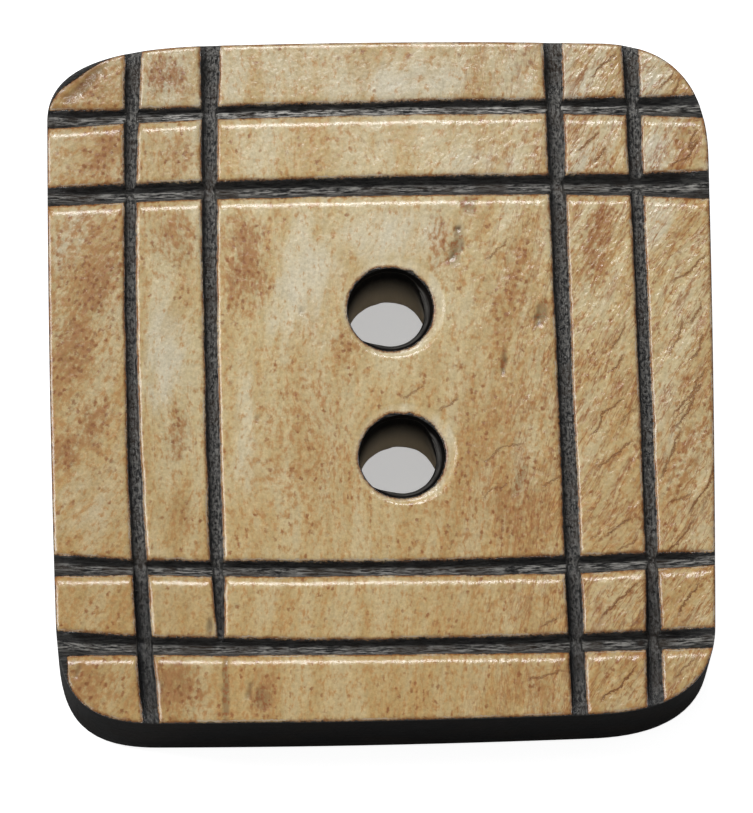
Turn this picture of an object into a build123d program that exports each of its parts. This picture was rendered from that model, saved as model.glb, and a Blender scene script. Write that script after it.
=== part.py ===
from build123d import *
from dataclasses import dataclass
import os

# A square two-hole button, sawn from a slab of bone and shaped by hand.
# Eight crossing saw cuts divide its face into tiles with eased edges. The two thread holes are
# drilled straight through, each inside a shallow dish, and the back is flat and plain.
# Lengths are in millimetres. The origin is on the back, at the middle of the width and the height:
# +Z points out of the carved face and +Y along the pair of holes.

# The blank
width = 25.0
height = 26.5
thickness = 4.5
face_bevel = 0.2
back_edge_radius = 0.4

# How far each side swells between its corners
top_bow = 0.09
right_bow = 0.06
bottom_bow = 0.08
left_bow = 0.07

# The saw cuts
saw_kerf = 0.6            # width of the slot where the saw ran true
saw_depth = 0.5           # depth of the slot there
deepening = 0.35          # extra depth for each millimetre that the slot is wider than the kerf
floor_share = 0.35        # width of the slot's flat floor, as a share of its mouth
wall_foot_share = 0.8     # width of the slot where its walls turn in to the floor
wall_foot_level = 0.75    # and the level of that turn, as a share of the depth
saw_overrun = 0.5         # how far the saw runs past the blank at each end

# The eased edge of a tile beside a cut: a gentle slope from the face and then a steeper one
edge_reach = 0.28         # from the slot to the start of the gentle slope
edge_turn_reach = 0.1     # from the slot to the turn between the slopes
edge_turn_drop = 0.04     # from the face down to that turn
edge_drop = 0.14          # from the face down to the slot
cutter_clearance = 0.5    # height of the cutter above the face

# The thread holes
hole_diameter = 3.2
hole_spacing = 5.7
hole_pair_lean = 4.4      # degrees that the pair leans to the left, from +Y
hole_pair_x = 0.64
hole_pair_y = -0.17
dish_diameter = 4.0
dish_depth = 0.06
dish_offset_x = 0.12      # each dish is a little off the middle of its hole
dish_offset_y = 0.1


@dataclass
class Corner:
    """A corner of the blank, rounded by hand, so that no two are alike."""

    right: int            # -1 at the left of the button and 1 at the right
    upper: int            # -1 at the bottom and 1 at the top
    reach_x: float        # how far the rounding reaches along the top or bottom side
    reach_y: float        # how far it reaches along the left or right side
    inset_x: float        # how far inside the full width it meets the left or right side
    inset_y: float        # how far inside the full height it meets the top or bottom side
    fullness: float       # near 0 the corner is cut off straight, and near 1 it is almost square

    def on_upright_side(self):
        """Where the rounding meets the left or right side."""
        return self.right * (width / 2 - self.inset_x), self.upper * (height / 2 - self.reach_y)

    def on_level_side(self):
        """Where the rounding meets the top or bottom side."""
        return self.right * (width / 2 - self.reach_x), self.upper * (height / 2 - self.inset_y)


@dataclass
class SawCut:
    """A cut across the face that follows one side of the blank.

    A cut beside the left or right side starts at its upper end, and one beside the top or bottom
    side starts at its left end.
    """

    side: str             # left, right, top or bottom
    inset: float          # from the side to the middle of the cut
    lean: float           # how much further from the side the cut ends than it starts
    bend: float           # how much further from the side both ends are than a straight cut's
    start_flare: float    # how much wider than the kerf the slot is where the cut starts
    middle_flare: float
    end_flare: float
    stops_at: float = 0.0  # from the middle to where the saw lifts out, if it doesn't run through

    def upright(self):
        """Whether the cut runs between the top and the bottom of the button."""
        return self.side in ("left", "right")

    def stations(self):
        """The places that shape the cut, each as (distance from its middle, flare, lift)."""
        end = (height if self.upright() else width) / 2 + saw_overrun
        if not self.stops_at:
            return [(-end, self.start_flare, 0), (0, self.middle_flare, 0), (end, self.end_flare, 0)]
        third = (self.stops_at + end) / 3
        return [
            (-end, self.start_flare, 0),
            (third - end, self.middle_flare, 0),
            (2 * third - end, self.middle_flare, 0),
            (self.stops_at, self.end_flare, cut_depth(self.end_flare)),
        ]

    def plane(self, distance, lift):
        """The plane across the cut at a distance from its middle, its origin a lift above the face."""
        share = distance / (height if self.upright() else width) * 2
        from_side = self.inset + self.lean / 2 * share + self.bend * share**2
        level = thickness + lift
        if self.upright():
            outwards = -1 if self.side == "left" else 1
            origin = (outwards * (width / 2 - from_side), -distance, level)
            return Plane(origin=origin, x_dir=(1, 0, 0), z_dir=(0, -1, 0))
        outwards = -1 if self.side == "bottom" else 1
        origin = (distance, outwards * (height / 2 - from_side), level)
        return Plane(origin=origin, x_dir=(0, 1, 0), z_dir=(1, 0, 0))


def cut_depth(flare):
    """How deep a cut is where its slot is a flare wider than the kerf."""
    return saw_depth + deepening * flare


def half_section(flare):
    """The right half of a cut's section, from its floor up to above the face."""
    half = (saw_kerf + flare) / 2
    depth = cut_depth(flare)
    edge_slope = edge_turn_drop / (edge_reach - edge_turn_reach)
    return [
        (half * floor_share, -depth),
        (half * wall_foot_share, -depth * wall_foot_level),
        (half, -edge_drop),
        (half + edge_turn_reach, -edge_turn_drop),
        # The gentle slope runs on past the face, so that the cutter leaves it at a clear angle
        (half + 2 * edge_reach - edge_turn_reach, edge_slope * (edge_reach - edge_turn_reach)),
        (half + 2 * edge_reach - edge_turn_reach, cutter_clearance),
    ]


def saw_cutter(cut):
    """The solid that the saw takes out along one cut, with the eased edges of the tiles beside it."""
    with BuildPart() as cutter:
        for distance, flare, lift in cut.stations():
            right_half = half_section(flare)
            left_half = [(-across, up) for across, up in reversed(right_half)]
            with BuildSketch(cut.plane(distance, lift)):
                with BuildLine():
                    Polyline(*right_half, *left_half, close=True)
                make_face()
        loft()
    return cutter.part


upper_left = Corner(
    right=-1, upper=1, reach_x=6.1, reach_y=3.3, inset_x=0.0, inset_y=0.24, fullness=0.64
)
upper_right = Corner(
    right=1, upper=1, reach_x=4.2, reach_y=4.5, inset_x=0.08, inset_y=0.03, fullness=0.65
)
lower_right = Corner(
    right=1, upper=-1, reach_x=4.4, reach_y=3.8, inset_x=0.05, inset_y=0.43, fullness=0.60
)
lower_left = Corner(
    right=-1, upper=-1, reach_x=4.3, reach_y=3.9, inset_x=0.55, inset_y=0.0, fullness=0.68
)

left_outer_cut = SawCut(
    "left", inset=3.28, lean=0.86, bend=0.38, start_flare=0.02, middle_flare=-0.14, end_flare=0.04
)
left_inner_cut = SawCut(
    "left", inset=6.25, lean=0.72, bend=0.23, start_flare=0.15, middle_flare=0.0, end_flare=-0.15,
    stops_at=10.1,
)
right_inner_cut = SawCut(
    "right", inset=5.55, lean=-0.87, bend=-0.03, start_flare=0.14, middle_flare=0.0, end_flare=0.04
)
right_outer_cut = SawCut(
    "right", inset=2.57, lean=-0.75, bend=0.08, start_flare=0.06, middle_flare=-0.12, end_flare=0.08
)
top_outer_cut = SawCut(
    "top", inset=2.68, lean=-0.62, bend=0.14, start_flare=0.12, middle_flare=-0.08, end_flare=0.2
)
top_inner_cut = SawCut(
    "top", inset=5.75, lean=-0.63, bend=0.18, start_flare=0.16, middle_flare=0.06, end_flare=0.42
)
bottom_inner_cut = SawCut(
    "bottom", inset=5.93, lean=0.4, bend=0.27, start_flare=0.16, middle_flare=0.0, end_flare=-0.06
)
bottom_outer_cut = SawCut(
    "bottom", inset=2.95, lean=0.36, bend=0.26, start_flare=0.3, middle_flare=0.0, end_flare=0.12
)

cutters = [
    saw_cutter(cut)
    for cut in (
        left_outer_cut,
        left_inner_cut,
        right_inner_cut,
        right_outer_cut,
        top_outer_cut,
        top_inner_cut,
        bottom_inner_cut,
        bottom_outer_cut,
    )
]

# The outline: four sides that swell a little, and four corners that leave each side along its own line
with BuildSketch() as outline:
    with BuildLine():
        top = SagittaArc(upper_left.on_level_side(), upper_right.on_level_side(), top_bow)
        right = SagittaArc(upper_right.on_upright_side(), lower_right.on_upright_side(), right_bow)
        bottom = SagittaArc(lower_right.on_level_side(), lower_left.on_level_side(), bottom_bow)
        left = SagittaArc(lower_left.on_upright_side(), upper_left.on_upright_side(), left_bow)
        for before, after, corner in (
            (left, top, upper_left),
            (top, right, upper_right),
            (right, bottom, lower_right),
            (bottom, left, lower_left),
        ):
            leaves_level_side = before in (top, bottom)
            reach_before = corner.reach_x if leaves_level_side else corner.reach_y
            reach_after = corner.reach_y if leaves_level_side else corner.reach_x
            Bezier(
                before @ 1,
                before @ 1 + before % 1 * reach_before * corner.fullness,
                after @ 0 - after % 0 * reach_after * corner.fullness,
                after @ 0,
            )
    make_face()

with BuildPart() as button:
    add(outline.sketch)
    extrude(amount=thickness)
    chamfer(button.faces().sort_by(Axis.Z)[-1].edges(), length=face_bevel)
    fillet(button.faces().sort_by(Axis.Z)[0].edges(), radius=back_edge_radius)
    for cutter in cutters:
        add(cutter, mode=Mode.SUBTRACT)
    # The two thread holes, each with its dish
    hole_pair = Location((hole_pair_x, hole_pair_y, thickness), (0, 0, hole_pair_lean))
    with Locations(hole_pair):
        with GridLocations(0, hole_spacing, 1, 2):
            Hole(radius=hole_diameter / 2)
            with Locations((dish_offset_x, dish_offset_y)):
                Hole(radius=dish_diameter / 2, depth=dish_depth)

button.part.label = "button"
os.makedirs("parts", exist_ok=True)
export_step(button.part, "parts/button.step")
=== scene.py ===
import logging
import math
from dataclasses import dataclass
from enum import Enum
from typing import Callable

import bmesh
import bpy
import numpy as np
from mathutils import Matrix, Vector


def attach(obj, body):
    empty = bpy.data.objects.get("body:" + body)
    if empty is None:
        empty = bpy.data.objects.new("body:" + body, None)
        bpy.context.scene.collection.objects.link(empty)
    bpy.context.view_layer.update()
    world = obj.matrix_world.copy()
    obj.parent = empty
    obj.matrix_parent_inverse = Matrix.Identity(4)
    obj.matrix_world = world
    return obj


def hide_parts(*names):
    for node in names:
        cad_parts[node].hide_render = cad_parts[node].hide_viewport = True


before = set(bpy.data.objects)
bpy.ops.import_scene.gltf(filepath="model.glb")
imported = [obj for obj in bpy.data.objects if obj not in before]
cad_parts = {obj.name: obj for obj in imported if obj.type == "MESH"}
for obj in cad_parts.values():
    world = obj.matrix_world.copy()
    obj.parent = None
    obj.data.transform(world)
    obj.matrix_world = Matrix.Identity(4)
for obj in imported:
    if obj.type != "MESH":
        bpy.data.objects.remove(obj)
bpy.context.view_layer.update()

log = logging.getLogger("button")

# Lengths are in millimetres until a mesh, a lamp or the camera is made
MILLIMETRE = 0.001
WIDTH = 25.0
HEIGHT = 26.5
THICKNESS = 4.5
# How many random heights a lattice of noise has along each of its ways
LATTICE = 512
# How far apart the saw marks of two cuts are in the coordinate along them; the level cuts come first
MARKS_APART = 40.0
# The first seeds of the cracks and of the wobble down a hole
CRACK_SEED = 400
BORE_SEED = 71

Array = np.ndarray
Guide = Callable[[Array], Array]


class Side(Enum):
    """The side of the button that a saw cut runs beside."""

    LEFT = "left"
    RIGHT = "right"
    TOP = "top"
    BOTTOM = "bottom"


# Small tools for smooth shapes


def eased(value: Array, start: float, end: float) -> Array:
    """An S-shaped rise from 0 at start to 1 at end, flat at both.

    The share t of the way is clipped to 0..1, and the rise is 3 t squared less 2 t cubed.

    Args:
        value: where the rise is asked for.
        start: where it is still 0.
        end: where it has reached 1; below start for a fall.

    Returns:
        The height of the rise, 0 to 1.
    """
    share = np.clip((value - start) / (end - start), 0.0, 1.0)
    return share * share * (3.0 - 2.0 * share)


def lattice(value: Array, step: float) -> tuple[Array, Array]:
    """Where values lie among a lattice's places, which stand a step apart around 0.

    Args:
        value: the values.
        step: the distance between two places.

    Returns:
        The number of the place below each value, and the share of the way from it to the next,
        bent to a raised cosine.
    """
    place = value / step + LATTICE / 2
    low = np.clip(np.floor(place).astype(int), 0, LATTICE - 2)
    return low, 0.5 - 0.5 * np.cos(np.pi * np.clip(place - low, 0.0, 1.0))


def wander(along: Array, seed: int, step: float) -> Array:
    """Smooth noise along a line, between -1 and 1: random heights joined by raised cosines.

    Args:
        along: distances along the line.
        seed: which set of random heights is used.
        step: the distance between two heights.

    Returns:
        The noise at each distance.
    """
    heights = np.random.default_rng(seed).uniform(-1.0, 1.0, LATTICE)
    low, share = lattice(along, step)
    return heights[low] * (1.0 - share) + heights[low + 1] * share


def grain(x: Array, y: Array, seed: int, step_x: float, step_y: float) -> Array:
    """Smooth noise over a plane, between -1 and 1: random heights joined by raised cosines.

    Args:
        x: the first coordinate.
        y: the second coordinate.
        seed: which set of random heights is used.
        step_x: the lattice's step along x.
        step_y: the lattice's step along y.

    Returns:
        The noise at each place.
    """
    heights = np.random.default_rng(seed).uniform(-1.0, 1.0, (LATTICE, LATTICE))
    (low_x, share_x), (low_y, share_y) = lattice(x, step_x), lattice(y, step_y)
    near = heights[low_x, low_y] * (1.0 - share_x) + heights[low_x + 1, low_y] * share_x
    far = heights[low_x, low_y + 1] * (1.0 - share_x) + heights[low_x + 1, low_y + 1] * share_x
    return near * (1.0 - share_y) + far * share_y


def turned(x: Array, y: Array, degrees: float | Array) -> tuple[Array, Array]:
    """The coordinates across and along a line that leans to the right of +Y by some degrees."""
    lean = np.radians(degrees)
    return x * np.cos(lean) - y * np.sin(lean), x * np.sin(lean) + y * np.cos(lean)


def rounding(from_edge: Array, reach: Array | float) -> Array:
    """A quarter of an ellipse: 1 at an edge and 0 from the reach on."""
    share = np.clip(1.0 - from_edge / reach, 0.0, 1.0)
    return 1.0 - np.sqrt(np.clip(1.0 - share**2, 0.0, 1.0))


def unit(rows: Array) -> Array:
    """Each row made 1 long."""
    return rows / np.linalg.norm(rows, axis=-1, keepdims=True)


def place_object(name: str, data: bpy.types.ID) -> bpy.types.Object:
    """A new object in the scene, at the origin."""
    item = bpy.data.objects.new(name, data)
    bpy.context.scene.collection.objects.link(item)
    return item


# The outline


@dataclass
class Corner:
    """A corner of the blank, rounded by hand, so that no two are alike."""

    right: int
    upper: int
    reach_x: float
    reach_y: float
    inset_x: float
    inset_y: float
    fullness: float

    def on_upright_side(self) -> Array:
        """Where the rounding meets the left or right side."""
        return np.array(
            (self.right * (WIDTH / 2 - self.inset_x), self.upper * (HEIGHT / 2 - self.reach_y))
        )

    def on_level_side(self) -> Array:
        """Where the rounding meets the top or bottom side."""
        return np.array(
            (self.right * (WIDTH / 2 - self.reach_x), self.upper * (HEIGHT / 2 - self.inset_y))
        )


@dataclass
class Outline:
    """The button seen from above: four sides that swell a little and four rounded corners."""

    upper_left: Corner
    upper_right: Corner
    lower_right: Corner
    lower_left: Corner
    top_bow: float = 0.09
    right_bow: float = 0.06
    bottom_bow: float = 0.08
    left_bow: float = 0.07
    samples: int = 240
    stride: int = 6
    batch: int = 8192

    def side(self, start: Array, end: Array, bow: float) -> Array:
        """A side: a straight line that swells outwards as a parabola.

        Args:
            start: its first point, going clockwise.
            end: its last point.
            bow: how far it swells at its middle.

        Returns:
            Its points, one row each.
        """
        share = np.linspace(0.0, 1.0, self.samples)[:, None]
        along = end - start
        outwards = unit(np.array((-along[1], along[0])))
        return start + along * share + outwards * (4.0 * bow * share * (1.0 - share))

    def turn(self, before: Array, after: Array, corner: Corner, leaves_level: bool) -> Array:
        """A corner: a cubic Bezier curve that leaves each side along the side's own line.

        Args:
            before: the points of the side before it.
            after: the points of the side after it.
            corner: its sizes.
            leaves_level: whether the side before it is the top or the bottom.

        Returns:
            Its points, one row each.
        """
        reach_before = corner.reach_x if leaves_level else corner.reach_y
        reach_after = corner.reach_y if leaves_level else corner.reach_x
        first, last = before[-1], after[0]
        second = first + unit(first - before[-2]) * reach_before * corner.fullness
        third = last - unit(after[1] - last) * reach_after * corner.fullness
        t = np.linspace(0.0, 1.0, self.samples)[:, None]
        s = 1.0 - t
        return s**3 * first + 3 * s * s * t * second + 3 * s * t * t * third + t**3 * last

    def __post_init__(self) -> None:
        """Works out the four sides and corners, clockwise from the top side."""
        ul, ur = self.upper_left, self.upper_right
        lr, ll = self.lower_right, self.lower_left
        sides = [
            self.side(ul.on_level_side(), ur.on_level_side(), self.top_bow),
            self.side(ur.on_upright_side(), lr.on_upright_side(), self.right_bow),
            self.side(lr.on_level_side(), ll.on_level_side(), self.bottom_bow),
            self.side(ll.on_upright_side(), ul.on_upright_side(), self.left_bow),
        ]
        turns = [
            self.turn(sides[number - 1], sides[number], corner, number % 2 == 1)
            for number, corner in enumerate((ul, ur, lr, ll))
        ]
        # Each part has half of the corner before its side and half of the one after
        half = self.samples // 2
        self.top, self.right, bottom, self.left = (
            np.vstack((turns[k][half:], sides[k][1:], turns[(k + 1) % 4][1 : half + 1]))
            for k in range(4)
        )
        self.bottom = bottom[::-1]

    def level(self, side: Side, x: Array) -> Array:
        """The height of the top or bottom side at x."""
        line = self.top if side is Side.TOP else self.bottom
        return np.interp(x, line[:, 0], line[:, 1])

    def upright(self, side: Side, y: Array) -> Array:
        """The place of the left or right side at height y."""
        line = self.left if side is Side.LEFT else self.right[::-1]
        return np.interp(y, line[:, 1], line[:, 0])

    def inside(self, x: Array, y: Array) -> Array:
        """How far each place is from the nearest point of the outline.

        The outline is taken as many short straight pieces, and the distance to a piece is that to
        its nearest point.

        Args:
            x: the first coordinate.
            y: the second coordinate.

        Returns:
            The distance inside the outline.
        """
        parts = (self.top, self.right[1:], self.bottom[::-1][1:], self.left[1:])
        start = np.vstack(parts)[:: self.stride]
        along = np.roll(start, -1, axis=0) - start
        length = (along**2).sum(axis=1)
        place = np.column_stack((x.ravel(), y.ravel()))
        nearest = np.empty(len(place))
        # A batch of places at a time, to save memory
        for first in range(0, len(place), self.batch):
            away = place[first : first + self.batch, None, :] - start[None]
            share = np.clip((away * along).sum(axis=2) / length, 0.0, 1.0)
            gap = away - along * share[..., None]
            nearest[first : first + self.batch] = np.sqrt((gap**2).sum(axis=2).min(axis=1))
        return nearest.reshape(x.shape)


# The carving


@dataclass
class SawCut:
    """A dark cut across the face, from its upper or left end (share -1) to the other (share 1)."""

    side: Side
    start: float
    middle: float
    end: float
    widths: tuple[float, ...]
    seed: int
    depth: float = 0.44
    deepening: float = 0.35
    wobble: float = 0.02
    wobble_step: float = 1.3
    nicks: float = 0.012
    nick_step: float = 0.24
    least_width: float = 0.06
    sharp_drop: float = 0.06
    sharp_reach: float = 0.18
    worn_drop: float = 0.14
    worn_reach: float = 0.46
    floor_tilt: float = 0.25

    def upright(self) -> bool:
        """Whether the cut runs from the top to the bottom."""
        return self.side in (Side.LEFT, Side.RIGHT)

    def share(self, along: Array) -> Array:
        """The share of the way from start to end, -1 to 1, at a y or x."""
        return -along / (HEIGHT / 2) if self.upright() else along / (WIDTH / 2)

    def centre(self, along: Array) -> Array:
        """The middle line: a parabola through its three places."""
        share = self.share(along)
        rise = (self.end - self.start) / 2.0
        bend = (self.end + self.start) / 2.0 - self.middle
        return self.middle + rise * share + bend * share**2

    def width(self, along: Array) -> Array:
        """The width of the dark mouth, read between evenly spaced places."""
        places = np.linspace(-1.0, 1.0, len(self.widths))
        return np.interp(self.share(along), places, self.widths)

    def edge(self, along: Array, sign: int) -> Array:
        """One edge of the mouth: half the width from the middle line, with a hand's wobble.

        Args:
            along: the y of an upright cut's places or the x of a level cut's.
            sign: -1 for the left or lower edge, 1 for the other.

        Returns:
            The edge's x or y.
        """
        seed = 10 * self.seed + sign
        wobble = self.wobble * wander(along, seed, self.wobble_step)
        wobble = wobble + self.nicks * wander(along, seed + 5, self.nick_step)
        half = np.maximum(self.width(along), self.least_width) / 2.0
        return self.centre(along) + sign * half + wobble


@dataclass
class ThreadHole:
    """A thread hole drilled straight through, inside a shallow dish."""

    x: float
    y: float
    seed: int
    radius: float = 1.6
    dish_radius: float = 1.98
    dish_x: float = 0.12
    dish_y: float = 0.1
    dish_depth: float = 0.07
    dish_even: float = 0.3
    dish_turn: float = -50.0
    dish_slope: float = 0.17
    lip: float = 0.05
    chip_step: float = 0.22
    ledge: float = 0.31
    ledge_turn: float = -42.0
    cells: int = 24

    def from_dish(self, x: Array, y: Array) -> tuple[Array, Array, Array]:
        """How far each place is right of and above the dish's middle, and how far from it."""
        dx, dy = x - self.x - self.dish_x, y - self.y - self.dish_y
        return dx, dy, np.hypot(dx, dy)


class Mark(Enum):
    """What a patch of the face shows."""

    SPECKLE = "speckle"
    PALE = "pale"
    TAN = "tan"
    GREY = "grey"
    DARK = "dark"


@dataclass(frozen=True)
class Waves:
    """One layer of low waves in the polish."""

    height: float
    seed: int
    step_x: float
    step_y: float

    def rise(self, x: Array, y: Array) -> Array:
        """The waves' drop at each place, either way."""
        return self.height * grain(x, y, self.seed, self.step_x, self.step_y)


@dataclass
class Patch:
    """A soft-edged oval patch of the bone's natural marking."""

    mark: Mark
    x: float
    y: float
    half_width: float
    half_length: float
    lean: float
    strength: float
    sharp_waves: Waves = Waves(0.3, 31, 0.16, 0.2)
    soft_waves: Waves = Waves(0.25, 32, 0.5, 0.7)

    def cover(self, x: Array, y: Array) -> Array:
        """How strong the patch is at each place: a grey or dark patch has a sharper edge.

        Args:
            x: the first coordinate.
            y: the second coordinate.

        Returns:
            The strength.
        """
        across, along = turned(x - self.x, y - self.y, self.lean)
        from_middle = np.hypot(across / self.half_width, along / self.half_length)
        sharp = self.mark in (Mark.GREY, Mark.DARK)
        ragged = (self.sharp_waves if sharp else self.soft_waves).rise(x, y)
        start = 0.6 if sharp else 0.2
        return self.strength * (1.0 - eased(from_middle + ragged, start, 1.25))


@dataclass
class Crack:
    """A fine crack: a nearly straight line through a place, leaning to the right of upright."""

    x: float
    y: float
    length: float
    lean: float
    strength: float = 0.8
    sway: float = 0.12
    sway_step: float = 0.7
    jitter: float = 0.05
    jitter_step: float = 0.25
    reach: float = 0.16

    def trace(self, x: Array, y: Array, seed: int) -> tuple[Array, Array]:
        """How far each place is beside the crack, and how strong the crack is there.

        The line wanders from side to side, and its strength fades at both ends and away from it.

        Args:
            x: the first coordinate.
            y: the second coordinate.
            seed: which way it wanders.

        Returns:
            The signed distance and the strength.
        """
        off, along = turned(x - self.x, y - self.y, self.lean)
        off = off + self.sway * wander(along, seed, self.sway_step)
        off = off + self.jitter * wander(along, seed + 1, self.jitter_step)
        end = 1.0 - eased(np.abs(along), self.length * 0.32, self.length * 0.52)
        return off, self.strength * end * np.clip(1.6 - np.abs(off) / self.reach, 0.0, 1.0)


@dataclass(frozen=True)
class MissedSpot:
    """A spot of the rim that the sanding missed, so that its dyed band is wider."""

    x: float
    y: float
    width: float
    spread: float

    def extra(self, x: Array, y: Array) -> Array:
        """How much wider the band is: a bell that fades with the distance squared."""
        return self.width * np.exp(-((x - self.x) ** 2 + (y - self.y) ** 2) / self.spread)


@dataclass
class Carving:
    """The relief of the face: how far each place lies below the sanded plane."""

    outline: Outline
    upright_cuts: list[SawCut]
    level_cuts: list[SawCut]
    holes: list[ThreadHole]
    patches: list[Patch]
    cracks: list[Crack]
    cut_power: float = 5.0
    cut_fades: tuple[float, float] = (0.02, 0.22)
    end_rise: float = 0.76
    end_reach: float = 1.4
    dark_pit: float = 0.06
    grey_pit: float = 0.03
    left_grain_lean: float = 24.0
    middle_grain_lean: float = 3.0
    middle_grain_turn: float = 9.0
    right_grain_lean: float = 29.0
    grain_waves: Waves = Waves(0.3, 41, 2.5, 3.5)
    dish_pale: float = 0.55
    dish_clean: float = 0.5
    rim_drop: float = 0.1
    rim_reach: float = 0.2
    missed: tuple[MissedSpot, ...] = (
        MissedSpot(-11.9, -10.85, 0.36, 0.45),
        MissedSpot(-11.2, 11.4, 0.26, 1.1),
    )
    band: float = 0.02
    band_waves: Waves = Waves(0.05, 51, 0.5, 0.5)
    swells: tuple[Waves, ...] = (Waves(0.012, 3, 2.2, 3.4), Waves(0.006, 4, 0.9, 1.6))
    swell_level: float = 0.018
    ripple_waves: tuple[Waves, ...] = (Waves(0.013, 5, 0.55, 1.4), Waves(0.004, 6, 0.26, 0.8))
    ripple_level: float = 0.022
    ripples_grow: tuple[float, float] = (1.0, 8.0)
    ripple_lean: float = 32.0
    edge_power: float = 2.2
    # The left outer cut was sawn after the two lower ones, so its marks cross theirs
    sawn_last: float = 1.4

    def cut_depth(
        self, cut: SawCut, across: Array, along: Array, inside: Array
    ) -> tuple[Array, Array]:
        """How deep one cut is at each place, and how far the place is from its dyed edge.

        Inside the mouth the walls are steep: the depth falls off as the share of the way to the
        edge to a power. The floor of a level cut rises towards its lower wall. Outside, the
        edge's drop fades as the share left of the reach to another power, so the tile's edge is
        round too. The lower edge of a level cut is more worn than the rest, and every cut is
        shallower where it leaves the button.

        Args:
            cut: the cut.
            across: the coordinate across the cut.
            along: the coordinate along it.
            inside: the distance inside the outline.

        Returns:
            The depth below the face, and the distance outside the mouth, negative within it.
        """
        low, high = cut.edge(along, -1), cut.edge(along, 1)
        middle, half = (low + high) / 2.0, (high - low) / 2.0
        fade = eased(cut.width(along), *self.cut_fades)
        full = (cut.depth + cut.deepening * (2.0 * half - 0.6)) * fade
        full = full * (1.0 - self.end_rise * eased(inside, self.end_reach, 0.0))
        place = np.clip((across - middle) / half, -1.0, 1.0)
        off = np.abs(across - middle) - half
        worn = (across < middle) & (not cut.upright())
        edge = np.where(worn, cut.worn_drop, cut.sharp_drop) * fade
        reach = np.where(worn, cut.worn_reach, cut.sharp_reach)
        outer = edge * np.clip(1.0 - off / reach, 0.0, 1.0) ** self.edge_power
        if not cut.upright():
            full = full - cut.floor_tilt * (1.0 - place) * half
        inner = 1.0 - np.abs(place) ** self.cut_power
        depth = np.where(off < 0.0, edge + np.maximum(full - edge, 0.0) * inner, outer)
        return depth, off + 0.3 * (1.0 - fade)

    def relief(self, x: Array, y: Array) -> dict[str, Array]:
        """The relief of the face and what the finish needs to know of it.

        The depths of the cuts that run one way are joined as their largest, and the two ways and
        the outline's rounding as the fourth root of the sum of their fourth powers, so the tiles'
        corners are rounder than their sides.

        Args:
            x: the first coordinate.
            y: the second coordinate.

        Returns:
            The drop below the face plane, the part of it that is carved, and the place in the
            nearest cut, across and along.
        """
        inside = self.outline.inside(x, y)
        upright, upright_off = self.all_cuts(self.upright_cuts, x, y, inside)
        level, level_off = self.all_cuts(self.level_cuts, y, x, inside)
        deep_upright, deep_level = upright.max(axis=0), level.max(axis=0)
        lips, lip_off = self.lips(x, y)
        carved = (deep_upright**4 + deep_level**4 + self.rim(inside) ** 4) ** 0.25
        off = np.minimum(np.minimum(upright_off, level_off), inside - self.bevel(x, y))
        nearest_upright = upright.argmax(axis=0)
        nearest_level = level.argmax(axis=0)
        off_upright = np.choose(nearest_upright, [x - cut.centre(y) for cut in self.upright_cuts])
        off_level = np.choose(nearest_level, [y - cut.centre(x) for cut in self.level_cuts])
        on_top = (nearest_upright == 0) & (y < 0.0)
        is_level = deep_level >= deep_upright * np.where(on_top, self.sawn_last, 1.0)
        across = np.where(is_level, off_level, off_upright)
        # Each cut has its own stretch of the coordinate along, so that no two have the same marks
        level_along = x + MARKS_APART * nearest_level
        upright_along = y + MARKS_APART * (nearest_upright + len(self.level_cuts) + 1)
        along = np.where(is_level, level_along, upright_along)
        marks = self.markings(x, y)
        pits = self.dark_pit * marks["dark"] + self.grey_pit * marks["grey"]
        return {
            "drop": carved + lips + self.dishes(x, y) + self.ripples(x, y) + pits,
            "off": np.minimum(off, lip_off),
            "across": across,
            "along": along,
            **self.grain_space(x, y),
            **marks,
        }

    def all_cuts(
        self, cuts: list[SawCut], across: Array, along: Array, inside: Array
    ) -> tuple[Array, Array]:
        """The depth of each of several cuts, and the distance from the nearest one's edge."""
        both = [self.cut_depth(cut, across, along, inside) for cut in cuts]
        depths, offs = zip(*both)
        return np.stack(depths), np.stack(offs).min(axis=0)

    def grain_space(self, x: Array, y: Array) -> dict[str, Array]:
        """The bone's grain as two coordinates, across it and along it.

        The grain is turned by a lean that is steady left of the first cut and right of the third,
        and eased between, and the change is hidden in those cuts.

        Args:
            x: the first coordinate.
            y: the second coordinate.

        Returns:
            The coordinate across the grain and the one along it.
        """
        first, third = self.upright_cuts[0].centre(y), self.upright_cuts[2].centre(y)
        lean = self.middle_grain_lean + self.middle_grain_turn * eased(x, -5.0, 9.0)
        lean = np.where(x > third, self.right_grain_lean, lean)
        lean = np.where(x < first, self.left_grain_lean, lean)
        across, along = turned(x, y, lean)
        return {"grain_across": across + self.grain_waves.rise(x, y), "grain_along": along}

    def markings(self, x: Array, y: Array) -> dict[str, Array]:
        """The bone's patches and cracks, each as a value for the finish to read.

        Args:
            x: the first coordinate.
            y: the second coordinate.

        Returns:
            The strength of each kind of patch, and the distance beside and strength of the
            nearest crack.
        """
        values = {mark.value: np.zeros_like(x) for mark in Mark}
        for patch in self.patches:
            name = patch.mark.value
            values[name] = np.maximum(values[name], patch.cover(x, y))
        # The drill cleaned the dishes, so they are paler than the face round them
        for hole in self.holes:
            from_edge = hole.from_dish(x, y)[2] - hole.dish_radius
            dish = 1.0 - eased(from_edge, -0.12, 0.02)
            values["pale"] = np.maximum(values["pale"], self.dish_pale * dish)
            values["speckle"] = values["speckle"] * (1.0 - dish) - self.dish_clean * dish
        off, near = np.ones_like(x), np.zeros_like(x)
        for number, crack in enumerate(self.cracks):
            crack_off, crack_near = crack.trace(x, y, CRACK_SEED + 2 * number)
            nearer = crack_near > near
            off = np.where(nearer, crack_off, off)
            near = np.where(nearer, crack_near, near)
        return {**values, "crack_off": off, "crack_near": near}

    def rim(self, inside: Array) -> Array:
        """The rounding along the outline: a quarter of an ellipse."""
        return self.rim_drop * rounding(inside, self.rim_reach)

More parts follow.
